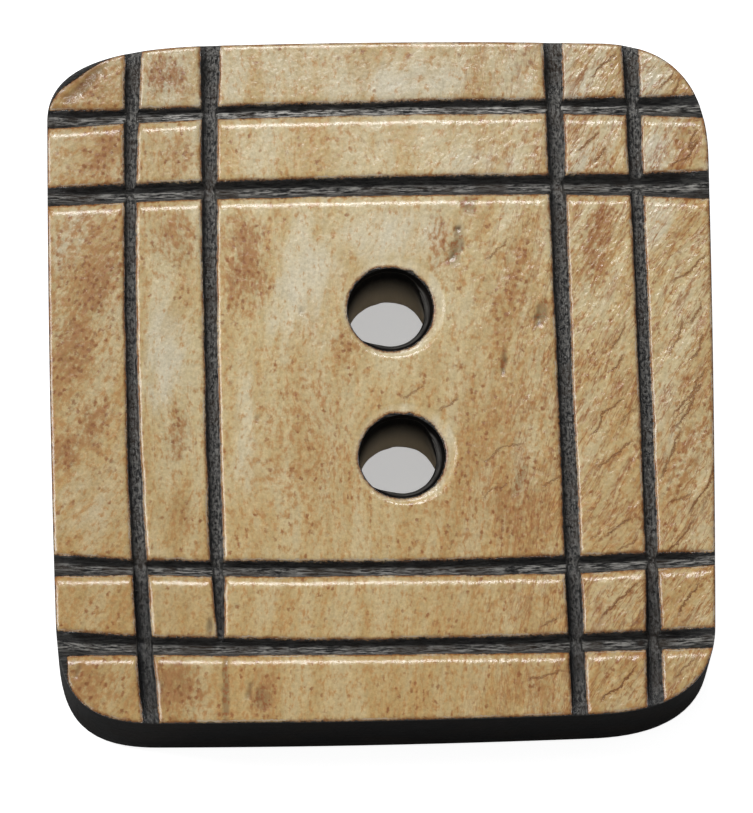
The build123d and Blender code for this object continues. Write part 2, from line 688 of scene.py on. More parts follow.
    def bevel(self, x: Array, y: Array) -> Array:
        """The width of the dyed band along the outline."""
        missed = sum(spot.extra(x, y) for spot in self.missed)
        return self.band + missed + self.band_waves.rise(x, y) * missed

    def dishes(self, x: Array, y: Array) -> Array:
        """The shallow dish round each hole, deepest on the side that it is turned to."""
        drop = np.zeros_like(x)
        for hole in self.holes:
            dx, dy, off = hole.from_dish(x, y)
            turn = math.radians(hole.dish_turn)
            towards = (dx * math.cos(turn) + dy * math.sin(turn)) / off
            share = hole.dish_even + (1.0 - hole.dish_even) * (0.5 + 0.5 * towards)
            slope = 1.0 - eased(off, hole.dish_radius - hole.dish_slope, hole.dish_radius)
            drop = drop + hole.dish_depth * share * slope
        return drop

    def lips(self, x: Array, y: Array) -> tuple[Array, Array]:
        """The small ragged lip of each hole: a quarter of a circle, chipped here and there.

        Args:
            x: the first coordinate.
            y: the second coordinate.

        Returns:
            The drop, and the distance outside the dyed lip.
        """
        drop, nearest = np.zeros_like(x), np.full_like(x, 9.0)
        for hole in self.holes:
            angle = np.arctan2(y - hole.y, x - hole.x) * hole.radius
            chips = eased(wander(angle, hole.seed, hole.chip_step), -0.2, 0.8)
            high = eased(np.sin(angle / hole.radius), 0.3, 0.95)
            lip = hole.lip * (1.0 + 0.9 * chips * high + 0.4 * chips)
            from_lip = np.hypot(x - hole.x, y - hole.y) - hole.radius
            drop = drop + lip * rounding(from_lip, lip)
            nearest = np.minimum(nearest, from_lip - 0.8 * lip)
        return drop, nearest

    def ripples(self, x: Array, y: Array) -> Array:
        """The uneven polish: low swells, and leathery ripples that grow towards the right."""
        swell = sum((waves.rise(x, y) for waves in self.swells), self.swell_level)
        over, down = turned(x, y, self.ripple_lean)
        ripple = sum(waves.rise(over, down) for waves in self.ripple_waves)
        return swell + eased(x, *self.ripples_grow) * (self.ripple_level + ripple)


# The mesh


@dataclass
class FaceGrid:
    """The lines of the face's mesh, which follow the cuts' edges, the holes and the outline."""

    carving: Carving
    cells_in_cut: int = 10
    cells_on_edge: int = 6
    edge_span: float = 0.5
    spacing: float = 0.115
    border_first: float = 0.035
    border_growth: float = 1.22
    border_most: int = 60
    left_border: float = 2.6
    right_border: float = 2.2
    bottom_border: float = 2.4
    top_border: float = 2.0
    rounds: int = 6
    dish_span: float = 0.52
    dish_cells: int = 7
    warp_reach: float = 2.78

    def hole_line(self, y: Array) -> Array:
        """The x of the line through both holes, upright past each and eased between them."""
        upper, lower = self.carving.holes
        rise = eased(y, lower.y + lower.radius, upper.y - upper.radius)
        return lower.x + (upper.x - lower.x) * rise

    def guides(self, upright: bool) -> tuple[list[Guide], list[int]]:
        """The lines that the mesh must follow, and how many cells lie between each two.

        Args:
            upright: True for the lines from the bottom to the top.

        Returns:
            The lines from left to right or bottom to top, and the cells between them.
        """
        cuts = self.carving.upright_cuts if upright else self.carving.level_cuts[::-1]
        lines: list[Guide] = []
        cells: list[int] = []

        def add(line: Guide, count: int | None = None) -> None:
            """Adds a line; without a count, the cells before it get the plain spacing."""
            if lines:
                middle = np.zeros(1)
                gap = float((line(middle) - lines[-1](middle))[0])
                cells.append(count or max(2, round(gap / self.spacing)))
            lines.append(line)

        def add_cut(cut: SawCut) -> None:
            """Adds a cut's two edges and the ends of its round shoulders."""
            span = self.edge_span
            add(lambda along: cut.edge(along, -1) - span)
            add(lambda along: cut.edge(along, -1), self.cells_on_edge)
            add(lambda along: cut.edge(along, 1), self.cells_in_cut)
            add(lambda along: cut.edge(along, 1) + span, self.cells_on_edge)

        for cut in cuts[:2]:
            add_cut(cut)
        holes = [self.carving.holes[0]] if upright else self.carving.holes[::-1]
        for hole in holes:
            for offset, count in (
                (-hole.radius - self.dish_span, None),
                (-hole.radius, self.dish_cells),
                (hole.radius, hole.cells),
                (hole.radius + self.dish_span, self.dish_cells),
            ):
                if upright:
                    add(lambda y, offset=offset: self.hole_line(y) + offset, count)
                else:
                    add(lambda x, place=hole.y + offset: np.full_like(x, place), count)
        for cut in cuts[2:]:
            add_cut(cut)
        return lines, cells

    @staticmethod
    def weights(cells: list[int]) -> Array:
        """For each mesh line its share of each guide: straight from one guide to the next.

        Args:
            cells: the cells between each two guides.

        Returns:
            One row for each mesh line and one column for each guide.
        """
        place = np.concatenate(([0], np.cumsum(cells)))
        line = np.arange(place[-1] + 1)
        return np.stack([np.interp(line, place, row) for row in np.eye(len(place))], axis=1)

    @staticmethod
    def follow(lines: list[Guide], weights: Array, along: Array) -> Array:
        """The mesh lines' coordinate: the guides at the same place, each times its weight."""
        total = np.zeros_like(along)
        for index, line in enumerate(lines):
            total = total + line(along) * weights[:, index][:, None]
        return total

    def border_shares(self, width: float, extra: int = 0) -> Array:
        """Shares from 0 at the outline to 1, with spacing that grows away from it.

        Args:
            width: the width of the border strip.
            extra: cells that it has more than the spacing asks for.

        Returns:
            The shares.
        """
        growth = self.border_growth ** np.arange(self.border_most)
        step = np.minimum(self.border_first * growth, self.spacing)
        place = np.concatenate(([0.0], np.cumsum(step)))
        count = int(np.searchsorted(place, width)) + extra
        return place[: count + 1] / place[count]

    def inner(self) -> Array:
        """The mesh inside the outermost cuts, as columns by rows by 2.

        Each point lies on its upright and its level mesh line, found by a few rounds of reading
        one coordinate from the other.
        """
        self.x_lines, self.x_cells = self.guides(True)
        self.y_lines, self.y_cells = self.guides(False)
        self.x_weights, self.y_weights = self.weights(self.x_cells), self.weights(self.y_cells)
        columns, rows = len(self.x_weights), len(self.y_weights)
        x = np.tile(np.linspace(-10.0, 10.0, columns)[:, None], (1, rows))
        y = np.zeros_like(x)
        for _ in range(self.rounds):
            y = self.follow(self.y_lines, self.y_weights, x.T).T
            x = self.follow(self.x_lines, self.x_weights, y)
        return np.stack((x, y), axis=2)

    def strip(self, inner_edge: Array, shares: Array, side: Side) -> Array:
        """The mesh between one edge of the inner mesh and the outline.

        A point's distance from the outline is its share of the whole distance, and it stays on
        its own mesh line.

        Args:
            inner_edge: the points on the inner mesh's edge.
            shares: the shares of the way, 0 at the outline.
            side: the side of the button.

        Returns:
            The points from the outline inwards, as shares by edge points by 2.
        """
        outline = self.carving.outline
        axis = 0 if side in (Side.LEFT, Side.RIGHT) else 1
        far = inner_edge.copy()
        weights, lines = (
            (self.y_weights, self.y_lines) if axis == 0 else (self.x_weights, self.x_lines)
        )
        for _ in range(self.rounds):
            other = far[:, 1 - axis]
            far[:, axis] = outline.upright(side, other) if axis == 0 else outline.level(side, other)
            far[:, 1 - axis] = sum(
                weights[:, index] * line(far[:, axis]) for index, line in enumerate(lines)
            )
        across = far[None, :, axis] + (inner_edge - far)[None, :, axis] * shares[:, None]
        other = self.follow(lines, weights, across.T).T
        return np.stack((across, other) if axis == 0 else (other, across), axis=2)

    def plan(self) -> Array:
        """The whole face's mesh seen from above, as columns by rows by 2."""
        inner = self.inner()
        columns, rows = inner.shape[:2]
        left, right, bottom, top = (
            self.border_shares(width)
            for width in (self.left_border, self.right_border, self.bottom_border, self.top_border)
        )
        # One more row where four would not divide the number of points round the face
        extra = (columns + rows + len(left) + len(right) + len(bottom) + len(top)) % 2
        top = self.border_shares(self.top_border, extra)
        n_left, n_bottom = len(left) - 1, len(bottom) - 1
        total = np.zeros((n_left + columns + len(right) - 1, n_bottom + rows + len(top) - 1, 2))
        at_x = slice(n_left, n_left + columns)
        at_y = slice(n_bottom, n_bottom + rows)
        total[at_x, at_y] = inner
        total[: n_left + 1, at_y] = self.strip(inner[0], left, Side.LEFT)
        total[n_left + columns - 1 :, at_y] = self.strip(inner[-1], right, Side.RIGHT)[::-1]
        below = self.strip(inner[:, 0], bottom, Side.BOTTOM)
        total[at_x, : n_bottom + 1] = below.transpose(1, 0, 2)
        above = self.strip(inner[:, -1], top, Side.TOP)[::-1]
        total[at_x, n_bottom + rows - 1 :] = above.transpose(1, 0, 2)
        right_from, top_from = n_left + columns - 1, n_bottom + rows - 1
        outline = self.carving.outline
        for block_y, level in (
            (slice(0, n_bottom + 1), outline.bottom),
            (slice(top_from, None), outline.top),
        ):
            for block_x, upright in (
                (slice(0, n_left + 1), outline.left),
                (slice(right_from, None), outline.right[::-1]),
            ):
                self.fill_corner(total, block_x, block_y, level, upright)
        self.border = (n_left, n_bottom)
        return self.round_holes(total)

    def fill_corner(
        self, total: Array, block_x: slice, block_y: slice, level: Array, upright: Array
    ) -> None:
        """Fills one corner block, whose two inner edges are there already, with a patch.

        Args:
            total: the whole mesh, changed in place.
            block_x: the block's columns.
            block_y: the block's rows.
            level: the outline's top or bottom part, from left to right.
            upright: its left or right part, from bottom to top.
        """
        block = total[block_x, block_y]
        at_left, at_bottom = block_x.start == 0, block_y.start == 0
        # The corner's own middle is where the two parts of the outline meet
        corner = level[0] if at_left else level[-1]
        inner_column = block[-1] if at_left else block[0]
        inner_row = block[:, -1] if at_bottom else block[:, 0]
        share_x, share_y = (
            np.linalg.norm(line - line[0], axis=1) / np.linalg.norm(line[-1] - line[0])
            for line in (inner_row, inner_column)
        )
        end_x = inner_column[0, 0] if at_bottom else inner_column[-1, 0]
        end_y = inner_row[0, 1] if at_left else inner_row[-1, 1]
        level_part = self.cut_curve(level, 0, corner[0], end_x, share_x)
        upright_part = self.cut_curve(upright, 1, corner[1], end_y, share_y)
        bottom, top = (level_part, inner_row) if at_bottom else (inner_row, level_part)
        left, right = (upright_part, inner_column) if at_left else (inner_column, upright_part)
        total[block_x, block_y] = self.blend_patch(bottom, top, left, right, share_x, share_y)

    @staticmethod
    def cut_curve(curve: Array, axis: int, corner: float, end: float, shares: Array) -> Array:
        """The part of an outline curve from the corner's middle to a place, at given shares.

        Args:
            curve: the curve, rising along the axis.
            axis: 0 for x or 1 for y.
            corner: the corner's coordinate on the axis.
            end: the other end's coordinate.
            shares: the shares of its length, in the mesh's own order.

        Returns:
            The points.
        """
        low, high = min(corner, end), max(corner, end)
        coordinate = curve[:, axis]
        within = curve[(coordinate > low) & (coordinate < high)]
        first, last = (
            [np.interp(place, coordinate, curve[:, k]) for k in (0, 1)] for place in (low, high)
        )
        part = np.vstack((first, within, last))
        length = np.concatenate(([0.0], np.cumsum(np.linalg.norm(np.diff(part, axis=0), axis=1))))
        place = shares * length[-1]
        return np.stack([np.interp(place, length, part[:, k]) for k in (0, 1)], axis=1)

    @staticmethod
    def blend_patch(
        bottom: Array, top: Array, left: Array, right: Array, share_x: Array, share_y: Array
    ) -> Array:
        """A surface between four curves: the Coons patch.

        It is the blend of bottom and top, plus the blend of left and right, less the blend of the
        four corners.

        Args:
            bottom: the lower curve, one row for each column of the mesh.
            top: the upper curve.
            left: the left curve, one row for each row of the mesh.
            right: the right curve.
            share_x: how far along the block each column is.
            share_y: how far up the block each row is.

        Returns:
            The points, as columns by rows by 2.
        """
        u, v = share_x[:, None, None], share_y[None, :, None]
        ruled = bottom[:, None] * (1 - v) + top[:, None] * v + left[None] * (1 - u) + right[None] * u
        corners = (
            bottom[0] * (1 - u) * (1 - v) + bottom[-1] * u * (1 - v)
            + top[0] * (1 - u) * v + top[-1] * u * v
        )
        return ruled - corners

    def round_holes(self, plan: Array) -> Array:
        """Rounds the square blocks of the mesh at the holes.

        A point whose larger distance from the hole's centre, across or along, is s moves onto the
        circle of radius s, fully at the hole and less and less out to the warp's reach.

        Args:
            plan: the mesh with square blocks.

        Returns:
            The mesh with round ones.
        """
        for hole in self.carving.holes:
            centre = np.array((hole.x, hole.y))
            away = plan - centre
            square = np.abs(away).max(axis=2)
            distance = np.maximum(np.linalg.norm(away, axis=2), 1e-9)
            share = 1.0 - eased(square, hole.radius, self.warp_reach)
            share = np.where(square < self.warp_reach, share, 0.0)
            scale = 1.0 + share * (square / distance - 1.0)
            plan = centre + away * scale[..., None]
        return plan

    def hole_blocks(self) -> list[tuple[slice, slice]]:
        """The columns and rows of cells that each hole takes out of the mesh."""
        columns, rows = (
            np.concatenate(([0], np.cumsum(cells))) + before
            for cells, before in zip((self.x_cells, self.y_cells), self.border)
        )
        # Each cut before the holes has four guides, and each hole has four, the middle two its own
        before = 2 * 4 + 1
        across, lower, upper = (
            slice(int(lines[at]), int(lines[at + 1]))
            for lines, at in ((columns, before), (rows, before), (rows, before + 4))
        )
        return [(across, upper), (across, lower)]


@dataclass
class MeshParts:
    """Collects the points, faces and painted values of one mesh."""

    points: list[Array]
    faces: list[Array]
    values: dict[str, list[Array]]
    count: int = 0

    @classmethod
    def empty(cls, names: tuple[str, ...]) -> "MeshParts":
        """An empty collection for the given painted values."""
        return cls([], [], {name: [] for name in names})

    def add_points(self, points: Array, **values: Array) -> Array:
        """Adds points, one row each, with their painted values.

        Args:
            points: the points, one row each.
            values: each painted value by name; one that isn't given is 0.

        Returns:
            The new points' numbers.
        """
        numbers = np.arange(self.count, self.count + len(points))
        self.points.append(points)
        self.count += len(points)
        for name, store in self.values.items():
            value = values.get(name, np.zeros(len(points)))
            store.append(np.broadcast_to(value, (len(points),)).astype(float))
        return numbers

    def add_band(self, first: Array, second: Array) -> None:
        """Adds the quads between two closed loops with as many points each."""
        self.faces.append(
            np.column_stack((first, np.roll(first, -1), np.roll(second, -1), second))
        )

    def add_step_band(self, fine: Array, coarse: Array) -> None:
        """Adds the band between a closed loop and one with a quarter of its points."""
        a = fine.reshape(-1, 4)
        a_next = np.roll(a[:, 0], -1)
        b, b_next = coarse, np.roll(coarse, -1)
        for corners in (
            (a[:, 0], a[:, 1], b),
            (a[:, 1], a[:, 2], b),
            (a[:, 2], b_next, b),
            (a[:, 2], a[:, 3], b_next),
            (a[:, 3], a_next, b_next),
        ):
            self.faces.append(np.column_stack((*corners, np.full(len(b), -1))))


# What the painted value named wall says where it is not a share of a hole's ledge
OUTSIDE = 2.0
BORE = 3.0
# Each loop of a hole's wall: the share of the way to the back and the share of the ledge's width
BORE_STEPS = (
    (0.02, 0.0), (0.035, 0.05), (0.05, 0.4), (0.054, 0.5), (0.07, 0.54), (0.075, 0.7),
    (0.09, 0.74), (0.095, 0.92), (0.13, 1.0), (0.22, 0.95), (0.35, 0.75), (0.5, 0.5),
    (0.65, 0.35), (0.8, 0.3), (0.92, 0.25), (0.97, 0.22), (1.0, 0.15),
)
# The share of the way below which the ledge is no longer painted
LEDGE_END = 0.12


@dataclass
class ButtonBody:
    """The button: carved face, filed sides, drilled holes and plain back."""

    grid: FaceGrid
    back_radius: float = 0.4
    back_border: float = 0.25
    fine_stop: float = 0.6
    fine_steps: tuple[float, ...] = (0.04, 0.12, 0.25)
    coarse_steps: tuple[float, ...] = (0.8, 0.6, 0.4, 0.2, 0.0)
    back_turns: tuple[float, ...] = (18.0, 36.0, 54.0, 72.0, 90.0)
    bore_taper: float = 0.05
    bore_wobble: float = 0.025
    bore_wobble_step: float = 0.3
    even_rounds: int = 4
    names: tuple[str, ...] = (
        "off", "across", "along", "wall", "grain_across", "grain_along",
        "speckle", "pale", "tan", "grey", "dark", "crack_off", "crack_near",
    )

    def build(self) -> bpy.types.Object:
        """Builds the whole closed mesh.

        Returns:
            The new object.
        """
        parts = MeshParts.empty(self.names)
        ring, hole_rings = self.add_face(parts)
        back_loops = [self.add_side(parts, ring)]
        for hole, loop in zip(self.grid.carving.holes, hole_rings):
            back_loops.append(self.add_hole(parts, hole, loop))
        mesh = self.to_mesh(parts, back_loops)
        return place_object("button_body", mesh)

    def add_face(self, parts: MeshParts) -> tuple[Array, list[Array]]:
        """Adds the carved face.

        Args:
            parts: the mesh so far.

        Returns:
            The loop of points round the outside and those round the holes.
        """
        plan = self.grid.plan()
        columns, rows = plan.shape[:2]
        x, y = plan[..., 0], plan[..., 1]
        relief = self.grid.carving.relief(x, y)
        cell = np.ones((columns - 1, rows - 1), bool)
        used = np.ones((columns, rows), bool)
        blocks = self.grid.hole_blocks()
        for across, along in blocks:
            cell[across, along] = False
            used[across.start + 1 : across.stop, along.start + 1 : along.stop] = False
        number = np.full((columns, rows), -1)
        points = np.column_stack((x[used], y[used], THICKNESS - relief["drop"][used]))
        painted = {name: relief[name][used] for name in self.names if name in relief}
        number[used] = parts.add_points(points, **painted)
        quads = np.stack(
            (number[:-1, :-1], number[1:, :-1], number[1:, 1:], number[:-1, 1:]), axis=2
        )[cell]
        parts.faces.append(quads)
        outer = self.loop(number, 0, columns - 1, 0, rows - 1)
        inner = [self.loop(number, a.start, a.stop, b.start, b.stop) for a, b in blocks]
        return outer, inner

    @staticmethod
    def loop(number: Array, left: int, right: int, bottom: int, top: int) -> Array:
        """The numbers of the points round a block, anticlockwise from its lower left corner."""
        return np.concatenate(
            (
                number[left:right, bottom],
                number[right, bottom:top],
                number[right:left:-1, top],
                number[left, top:bottom:-1],
            )
        )

    def add_side(self, parts: MeshParts, ring: Array) -> Array:
        """Adds the filed side wall, from the face's rim to the back.

        The wall goes straight down and turns in to the back along a quarter circle. Lower down
        every fourth point of the loop is enough.

        Args:
            parts: the mesh so far.
            ring: the face's outer loop.

        Returns:
            The loop on the back.
        """
        points = np.vstack(parts.points)[ring]
        middle = points[:, :2]
        ahead, behind = np.roll(middle, -1, axis=0), np.roll(middle, 1, axis=0)
        tangent = unit(ahead - behind)
        outwards = np.column_stack((tangent[:, 1], -tangent[:, 0]))
        # The outward direction is evened out, so that the wobble of the cuts doesn't run down it
        for _ in range(self.even_rounds):
            beside = np.roll(outwards, 1, axis=0) + np.roll(outwards, -1, axis=0)
            outwards = (beside + 2 * outwards) / 4
        outwards = unit(outwards)
        top = points[:, 2]
        length = np.concatenate(([0.0], np.cumsum(np.linalg.norm(ahead - middle, axis=1))[:-1]))

        def add_loop(level: Array, inset: float) -> Array:
            """Adds one loop of points at a level."""
            level = np.broadcast_to(level, length.shape)
            place = np.column_stack((middle - outwards * inset, level))
            return parts.add_points(place, off=-0.5, across=level, along=length, wall=OUTSIDE)

        previous = ring
        for share in self.fine_steps:
            level = top * (1 - share) + (self.back_radius + self.fine_stop) * share
            loop = add_loop(level, 0.0)
            parts.add_band(loop, previous)
            previous = loop
        middle, outwards = middle[::4], outwards[::4]
        level, length = level[::4], length[::4]
        low = self.back_radius
        steps = [(low + (level - low) * share, 0.0) for share in self.coarse_steps]
        for turn in np.radians(self.back_turns):
            steps.append((low - low * math.sin(turn), low * (1 - math.cos(turn))))
        steps.append((0.0, low + self.back_border))
        loop = add_loop(*steps[0])
        parts.add_step_band(previous[::-1], loop[::-1])
        for height, inset in steps[1:]:
            previous, loop = loop, add_loop(height, inset)
            parts.add_band(loop, previous)
        return loop

    def add_hole(self, parts: MeshParts, hole: ThreadHole, ring: Array) -> Array:
        """Adds a hole's wall, from the dish to the back.

        The wall's radius shrinks a little towards the back. On one side, just below the face, a
        ledge of three small steps is left by a second drilling. It is as wide as the ledge's size
        near its middle, eased to nothing past a quarter of a turn from there, and shrinks back to
        a seventh of its width at the button's back.

        Args:
            parts: the mesh so far.
            hole: the hole.
            ring: its loop on the face.

        Returns:
            Its loop on the back.
        """
        points = np.vstack(parts.points)[ring]
        angle = np.arctan2(points[:, 1] - hole.y, points[:, 0] - hole.x)
        top = points[:, 2]
        lobe = eased(np.cos(angle - math.radians(hole.ledge_turn)), -0.35, 0.5)
        along = angle * hole.radius

        def add_loop(radius: Array, level: Array, across: Array | float, wall: Array | float) -> Array:
            """Adds one loop of points at a level."""
            x, y = hole.x + radius * np.cos(angle), hole.y + radius * np.sin(angle)
            place = np.column_stack((x, y, level))
            return parts.add_points(place, off=-0.5, across=across, along=along, wall=wall)

        previous = ring
        for share, step in BORE_STEPS:
            level = top * (1 - share)
            wobble = wander(along, BORE_SEED + round(share * 50), self.bore_wobble_step)
            radius = hole.radius - self.bore_taper * share - hole.ledge * lobe * step
            radius = radius + self.bore_wobble * wobble * share
            wall = step * lobe if share < LEDGE_END else BORE
            loop = add_loop(radius, level, radius * 3.0 + level, wall)
            parts.add_band(previous, loop)
            previous = loop
        rim = add_loop(radius + self.back_border, np.zeros(len(angle)), 0.0, OUTSIDE)
        parts.add_band(previous, rim)
        return rim

    def to_mesh(self, parts: MeshParts, back_loops: list[Array]) -> bpy.types.Mesh:
        """Makes the mesh, fills its flat back between the loops and paints its values.

        Args:
            parts: the points, faces and values.
            back_loops: the closed loops that lie on the back.

        Returns:
            The mesh, in metres.
        """
        points = np.vstack(parts.points) * MILLIMETRE
        faces = [
            face if face[-1] >= 0 else face[:3] for block in parts.faces for face in block.tolist()
        ]
        mesh = bpy.data.meshes.new("button_body")
        mesh.from_pydata(points, [], faces)
        mesh.update()
        form = bmesh.new()
        form.from_mesh(mesh)
        form.verts.ensure_lookup_table()
        edges = [
            form.edges.get((form.verts[a], form.verts[b]))
            for loop in back_loops
            for a, b in zip(loop.tolist(), np.roll(loop, -1).tolist())
        ]
        bmesh.ops.triangle_fill(
            form, edges=edges, use_beauty=True, use_dissolve=False, normal=(0, 0, -1)
        )
        bmesh.ops.recalc_face_normals(form, faces=form.faces)
        form.to_mesh(mesh)
        form.free()
        for name, store in parts.values.items():
            layer = mesh.attributes.new(name, "FLOAT", "POINT")
            layer.data.foreach_set("value", np.concatenate(store).astype(np.float32))
        mesh.polygons.foreach_set("use_smooth", np.ones(len(mesh.polygons), bool))
        # The faces from the side wall on, the back's among them, get the second finish
        plain_faces = np.arange(len(mesh.polygons)) >= len(parts.faces[0])
        mesh.polygons.foreach_set("material_index", plain_faces.astype(np.int32))
        mesh.update()
        triangles = sum(len(face.vertices) - 2 for face in mesh.polygons)
        log.info("%s: %d triangles", mesh.name, triangles)
        return mesh


# Shader maths

Colour = tuple[float, float, float]


class Reading:
    """A number that changes over the surface: a node's socket that Python's operators work on."""

    def __init__(self, sheet: "NodeSheet", socket: bpy.types.NodeSocket) -> None:
        """Keeps the sheet that new nodes go on and the socket."""
        self.sheet = sheet
        self.socket = socket

    def maths(self, operation: str, *others: "Reading | float", clamp: bool = False) -> "Reading":
        """Adds a Math node on this number and others."""
        return self.sheet.maths(operation, self, *others, clamp=clamp)

    def __add__(self, other: "Reading | float") -> "Reading":
        """This number plus the other."""
        return self.maths("ADD", other)

    def __sub__(self, other: "Reading | float") -> "Reading":
        """This number less the other."""
        return self.maths("SUBTRACT", other)

    def __mul__(self, other: "Reading | float") -> "Reading":
        """This number times the other."""
        return self.maths("MULTIPLY", other)

    def __rsub__(self, other: float) -> "Reading":
        """A plain number less this one."""
        return self.sheet.maths("SUBTRACT", other, self)

    __radd__ = __add__
    __rmul__ = __mul__

    def size(self) -> "Reading":
        """The number without its sign."""
        return self.maths("ABSOLUTE")

    def clamp(self) -> "Reading":
        """The number kept within 0 and 1."""
        return self.maths("ADD", 0.0, clamp=True)

    def rise(self, start: float, end: float) -> "Reading":
        """An S-shaped rise from 0 at start to 1 at end, or a fall where end is the lower."""
        low, high = min(start, end), max(start, end)
        grown = self.sheet.add(
            "ShaderNodeMapRange",
            {"interpolation_type": "SMOOTHSTEP"},
            {"Value": self, "From Min": low, "From Max": high},
        )
        return grown if start < end else 1.0 - grown


class NodeSheet:
    """A material's nodes."""

    def __init__(self, name: str) -> None:
        """Makes an empty material of that name."""
        self.material = bpy.data.materials.new(name)
        self.material.use_nodes = True
        self.tree = self.material.node_tree
        self.tree.nodes.clear()

    def add(
        self,
        kind: str,
        settings: dict[str, object] | None = None,
        inputs: dict[str | int, object] | None = None,
        output: str | int = 0,
    ) -> Reading:
        """Adds any node.

        Args:
            kind: the node's type.
            settings: its properties, set before its sockets.
            inputs: the value or the link of each socket, by name or place.
            output: the output that is read.

        Returns:
            That output.
        """
        node = self.tree.nodes.new(kind)
        for name, value in (settings or {}).items():
            setattr(node, name, value)
        for key, value in (inputs or {}).items():
            socket = node.inputs[key]
            if isinstance(value, Reading):
                self.tree.links.new(value.socket, socket)
            else:
                socket.default_value = value
        return Reading(self, node.outputs[output] if node.outputs else None)

    def maths(self, operation: str, *terms: Reading | float, clamp: bool = False) -> Reading:
        """Adds a Math node on numbers or readings."""
        return self.add(
            "ShaderNodeMath", {"operation": operation, "use_clamp": clamp}, dict(enumerate(terms))
        )

    def millimetres(self) -> Reading:
        """The point that is shaded, in the piece's own space and in millimetres."""
        spot = self.add("ShaderNodeTexCoord", output="Object")
        return self.add(
            "ShaderNodeVectorMath", {"operation": "SCALE"}, {0: spot, "Scale": 1.0 / MILLIMETRE}
        )

    def painted(self, name: str) -> Reading:
        """Reads a value that is painted on the mesh."""
        return self.add("ShaderNodeAttribute", {"attribute_name": name}, output="Fac")

    def along(self, point: Reading, axis: tuple[float, float, float]) -> Reading:
        """How far a point lies along an axis, times the axis's length."""
        return self.add(
            "ShaderNodeVectorMath", {"operation": "DOT_PRODUCT"}, {0: point, 1: axis}, "Value"
        )

    def place(self, x: Reading | float, y: Reading | float, z: Reading | float = 0.0) -> Reading:
        """A point made of three numbers."""
        return self.add("ShaderNodeCombineXYZ", None, {"X": x, "Y": y, "Z": z})

    def noise(self, point: Reading, scale: float, detail: float, rough: float = 0.5) -> Reading:
        """Soft noise around 0.5."""
        return self.add(
            "ShaderNodeTexNoise",
            {"noise_dimensions": "3D"},
            {"Vector": point, "Scale": scale, "Detail": detail, "Roughness": rough},
        )

    def dots(self, x: Reading, y: Reading) -> tuple[Reading, Reading]:
        """Scattered dots, one in each cell of an uneven lattice.

        Args:
            x: the first coordinate, in cells.
            y: the second coordinate.

        Returns:
            The distance from the nearest dot's middle, and a number that differs from dot to dot.
        """
        distance = self.add(
            "ShaderNodeTexVoronoi",
            {"voronoi_dimensions": "2D"},
            {"Vector": self.place(x, y), "Scale": 1.0},
            "Distance",
        )
        return distance, Reading(self, distance.socket.node.outputs["Color"])

    def drawn(
        self, across: Reading, along: Reading, layer: float, detail: float, rough: float
    ) -> Reading:
        """Soft noise around 0.5 over two coordinates that are stretched already."""
        return self.noise(self.place(across, along, layer), 1.0, detail, rough)

    def colour(self, value: Colour | Reading) -> tuple[float, float, float, float] | Reading:
        """A colour as a socket takes it."""
        return value if isinstance(value, Reading) else (*value, 1.0)

    def blend(
        self, first: Colour | Reading, second: Colour | Reading, share: Reading | float
    ) -> Reading:
        """Mixes two colours: all of the first where the share is 0 and of the second where it is 1."""
        return self.add(
            "ShaderNodeMix",
            {"data_type": "RGBA", "clamp_factor": True},
            {0: share, 6: self.colour(first), 7: self.colour(second)},
            2,
        )

    def coats(self, colour: Colour | Reading, *coats: tuple[Colour | Reading, Reading]) -> Reading:
        """Lays colours over one another, each as strongly as its share says."""
        for tint, share in coats:
            colour = self.blend(colour, tint, share)
        return colour

    def shade(self, colour: Reading, strength: Reading) -> Reading:
        """Multiplies a colour by a number."""
        grey = self.place(strength, strength, strength)
        return self.add(
            "ShaderNodeMix",
            {"data_type": "RGBA", "blend_type": "MULTIPLY"},
            {0: 1.0, 6: colour, 7: grey},
            2,
        )

    def skin(
        self, colour: Reading, roughness: Reading, height: Reading, distance: float, **more: float
    ) -> bpy.types.Material:
        """Ends the material with its surface.

        Args:
            colour: its colour.
            roughness: its roughness.
            height: the height of its fine relief, from 0 to 1.
            distance: how much that height of 1 is, in millimetres.
            more: other sockets' values, by name.

        Returns:
            The material.
        """
        normal = self.add(
            "ShaderNodeBump", None, {"Height": height, "Distance": distance * MILLIMETRE}
        )
        inputs = {"Base Color": colour, "Roughness": roughness, "IOR": 1.5, "Normal": normal}
        shader = self.add("ShaderNodeBsdfPrincipled", None, {**inputs, **more})
        return self.end(shader)

    def end(self, shader: Reading) -> bpy.types.Material:
        """Links a shader to the output."""
        self.add("ShaderNodeOutputMaterial", None, {"Surface": shader})
        return self.material


# Finishes


def plain(red: float, green: float, blue: float) -> Colour:
    """A colour in linear light from its screen values, 0 to 255."""
    values = [value / 255.0 for value in (red, green, blue)]
    low, high = 0.04045, 2.4
    return tuple(
        value / 12.92 if value <= low else ((value + 0.055) / 1.055) ** high for value in values
    )


